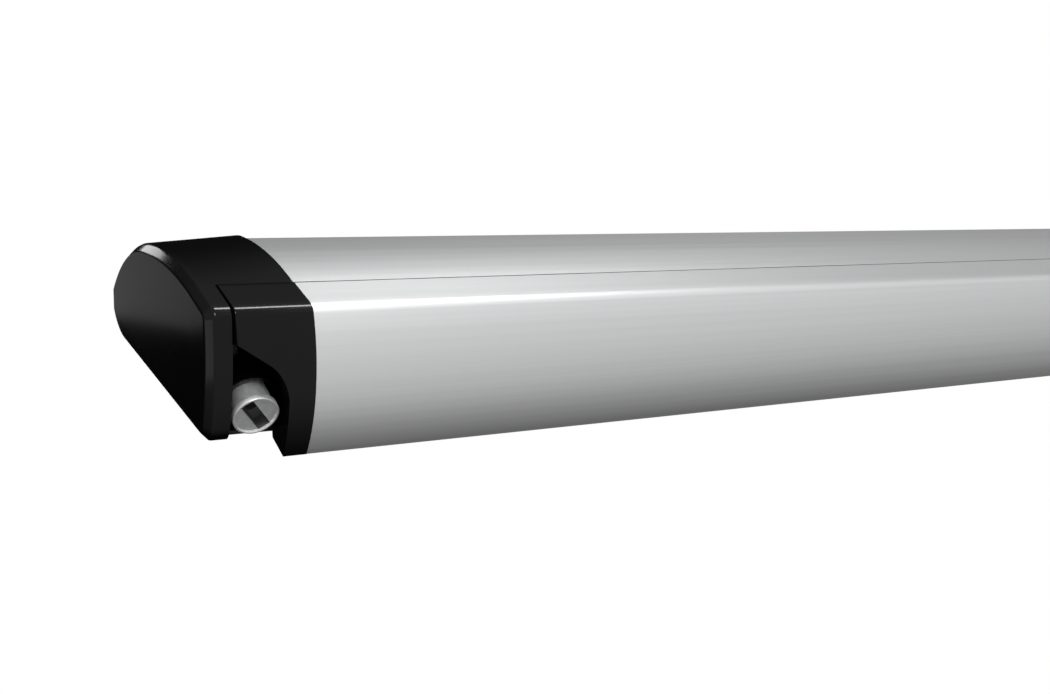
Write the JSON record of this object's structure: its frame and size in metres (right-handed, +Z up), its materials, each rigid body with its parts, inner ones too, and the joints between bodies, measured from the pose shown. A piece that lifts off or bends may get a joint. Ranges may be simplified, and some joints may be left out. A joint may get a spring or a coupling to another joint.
{
  "type": "roll out awning",
  "caption": "Cassette awning in a long aluminium case with black end caps: folding arms carry a front rail out, a crank turns the canopy roller, and support legs fold into the rail.",
  "frame": {"origin": "centre of the flat land on the back of the case, halfway along the awning", "axes": "+X along the awning, to the right as seen from the front; +Y towards the wall it hangs on, so the front faces -Y; +Z up"},
  "size_m": [2.6, 0.1939, 0.1294],
  "materials": {
    "satin_aluminium": "satin anodised",
    "black_moulding": "semi-gloss black",
    "plated_steel": "zinc plated",
    "cast_aluminium": "as cast",
    "arm_aluminium": "satin anodised",
    "roller_steel": "galvanised",
    "black_plastic": "moulded",
    "foot_rubber": "moulded",
    "seal_rubber": "extruded",
    "socket_metal": "bright cast",
    "wheel_brass": "machined",
    "spring_black": "black painted",
    "hem_plastic": "extruded",
    "canopy_fabric": "woven and coated"
  },
  "bodies": {
    "case": {"case_profile": "satin_aluminium", "top_seal": "seal_rubber", "end_cap_left": "black_moulding", "end_cap_right": "black_moulding", "bearing_plate_left": "plated_steel", "bearing_plate_right": "plated_steel", "roller_bush": "black_plastic", "end_screws": "plated_steel", "gear_housing": "cast_aluminium", "shoulder_bracket_left": "cast_aluminium", "shoulder_bracket_right": "cast_aluminium", "shoulder_pins": "plated_steel", "shoulder_screws": "plated_steel"},
    "lead_rail": {"lead_rail_profile": "satin_aluminium", "lead_rail_skirt": "satin_aluminium", "rail_cap_left": "black_moulding", "rail_cap_right": "black_moulding", "wrist_bracket_left": "cast_aluminium", "wrist_bracket_right": "cast_aluminium", "wrist_fasteners": "plated_steel", "leg_bracket_left": "black_plastic", "leg_bracket_right": "black_plastic", "leg_pins": "plated_steel"},
    "roller": {"roller_tube": "roller_steel", "roller_plug_left": "black_plastic", "roller_plug_right": "black_plastic", "worm_wheel": "wheel_brass", "canopy_roll": "canopy_fabric"},
    "crank": {"worm_shaft": "plated_steel", "crank_socket": "socket_metal"},
    "canopy_hem": {"hem_rod": "hem_plastic", "canopy_sheet": "canopy_fabric"},
    "upper_arm_left": {"upper_arm_tube_left": "arm_aluminium", "shoulder_knuckle_left": "cast_aluminium", "elbow_fork_left": "cast_aluminium", "elbow_pin_left": "plated_steel", "arm_spring_left": "spring_black"},
    "forearm_left": {"forearm_tube_left": "arm_aluminium", "elbow_knuckle_left": "cast_aluminium", "wrist_knuckle_left": "cast_aluminium"},
    "leg_left": {"leg_hinge_left": "black_plastic", "leg_tube_left": "arm_aluminium", "leg_collar_left": "black_plastic"},
    "leg_inner_left": {"leg_inner_left": "arm_aluminium", "leg_foot_left": "foot_rubber"},
    "leg_lever_left": {"leg_lever_left": "black_plastic"},
    "upper_arm_right": {"upper_arm_tube_right": "arm_aluminium", "shoulder_knuckle_right": "cast_aluminium", "elbow_fork_right": "cast_aluminium", "elbow_pin_right": "plated_steel", "arm_spring_right": "spring_black"},
    "forearm_right": {"forearm_tube_right": "arm_aluminium", "elbow_knuckle_right": "cast_aluminium", "wrist_knuckle_right": "cast_aluminium"},
    "leg_right": {"leg_hinge_right": "black_plastic", "leg_tube_right": "arm_aluminium", "leg_collar_right": "black_plastic"},
    "leg_inner_right": {"leg_inner_right": "arm_aluminium", "leg_foot_right": "foot_rubber"},
    "leg_lever_right": {"leg_lever_right": "black_plastic"}
  },
  "joints": [
    {"name": "left_shoulder", "type": "hinge", "parent": "case", "child": "upper_arm_left", "pos_m": [-1.165, -0.10359, -0.02106], "axis": [0, 0.2865, -0.9581], "range_deg": [0, 70]},
    {"name": "left_elbow", "type": "hinge", "parent": "upper_arm_left", "child": "forearm_left", "pos_m": [-0.085, -0.12036, -0.02607], "axis": [0, 0.2865, -0.9581], "range_deg": [-140, 0]},
    {"name": "left_wrist", "type": "hinge", "parent": "forearm_left", "child": "lead_rail", "pos_m": [-1.165, -0.13713, -0.03108], "axis": [0, 0.2865, -0.9581], "range_deg": [0, 70]},
    {"name": "right_shoulder", "type": "hinge", "parent": "case", "child": "upper_arm_right", "pos_m": [1.165, -0.10359, -0.02106], "axis": [0, 0.2865, -0.9581], "range_deg": [-70, 0]},
    {"name": "right_elbow", "type": "hinge", "parent": "upper_arm_right", "child": "forearm_right", "pos_m": [0.085, -0.12036, -0.02607], "axis": [0, 0.2865, -0.9581], "range_deg": [0, 140]},
    {"name": "canopy_slide", "type": "slide", "parent": "case", "child": "canopy_hem", "axis": [0, -0.9581, -0.2865], "range_m": [0, 2.0068], "deforming": ["canopy_sheet"]},
    {"name": "roller_spin", "type": "hinge", "parent": "case", "child": "roller", "pos_m": [0, -0.05507, -0.00003], "axis": [1, 0, 0], "range_deg": [0, 4061]},
    {"name": "crank_turn", "type": "hinge", "parent": "case", "child": "crank", "pos_m": [-1.2695, -0.18269, -0.0601], "axis": [0, 0.8192, 0.5736], "range_deg": [0, 24361]},
    {"name": "left_leg_swing", "type": "hinge", "parent": "lead_rail", "child": "leg_left", "pos_m": [-1.176, -0.16781, -0.06832], "axis": [0, 1, 0], "range_deg": [0, 90]},
    {"name": "left_leg_extend", "type": "slide", "parent": "leg_left", "child": "leg_inner_left", "axis": [1, 0, 0], "range_m": [0, 0.8]},
    {"name": "left_leg_lock", "type": "hinge", "parent": "leg_left", "child": "leg_lever_left", "pos_m": [-0.225, -0.16781, -0.08376], "axis": [0, -1, 0], "range_deg": [0, 90]},
    {"name": "right_leg_swing", "type": "hinge", "parent": "lead_rail", "child": "leg_right", "pos_m": [1.176, -0.16781, -0.06832], "axis": [0, -1, 0], "range_deg": [0, 90]},
    {"name": "right_leg_extend", "type": "slide", "parent": "leg_right", "child": "leg_inner_right", "axis": [-1, 0, 0], "range_m": [0, 0.8]},
    {"name": "right_leg_lock", "type": "hinge", "parent": "leg_right", "child": "leg_lever_right", "pos_m": [0.225, -0.16781, -0.08376], "axis": [0, 1, 0], "range_deg": [0, 90]}
  ],
  "couplings": [
    {"joint": "left_elbow", "follows": "left_shoulder", "ratio": -2},
    {"joint": "left_wrist", "follows": "left_shoulder", "ratio": 1},
    {"joint": "right_shoulder", "follows": "left_shoulder", "ratio": -1},
    {"joint": "right_elbow", "follows": "left_shoulder", "ratio": 2},
    {"joint": "canopy_slide", "follows": "left_shoulder", "m_per_rad": 1.6425},
    {"joint": "roller_spin", "follows": "left_shoulder", "ratio": 58},
    {"joint": "crank_turn", "follows": "left_shoulder", "ratio": 348},
    {"joint": "left_leg_extend", "follows": "left_leg_swing", "m_per_rad": 0.5092},
    {"joint": "right_leg_extend", "follows": "right_leg_swing", "m_per_rad": 0.5092}
  ]
}
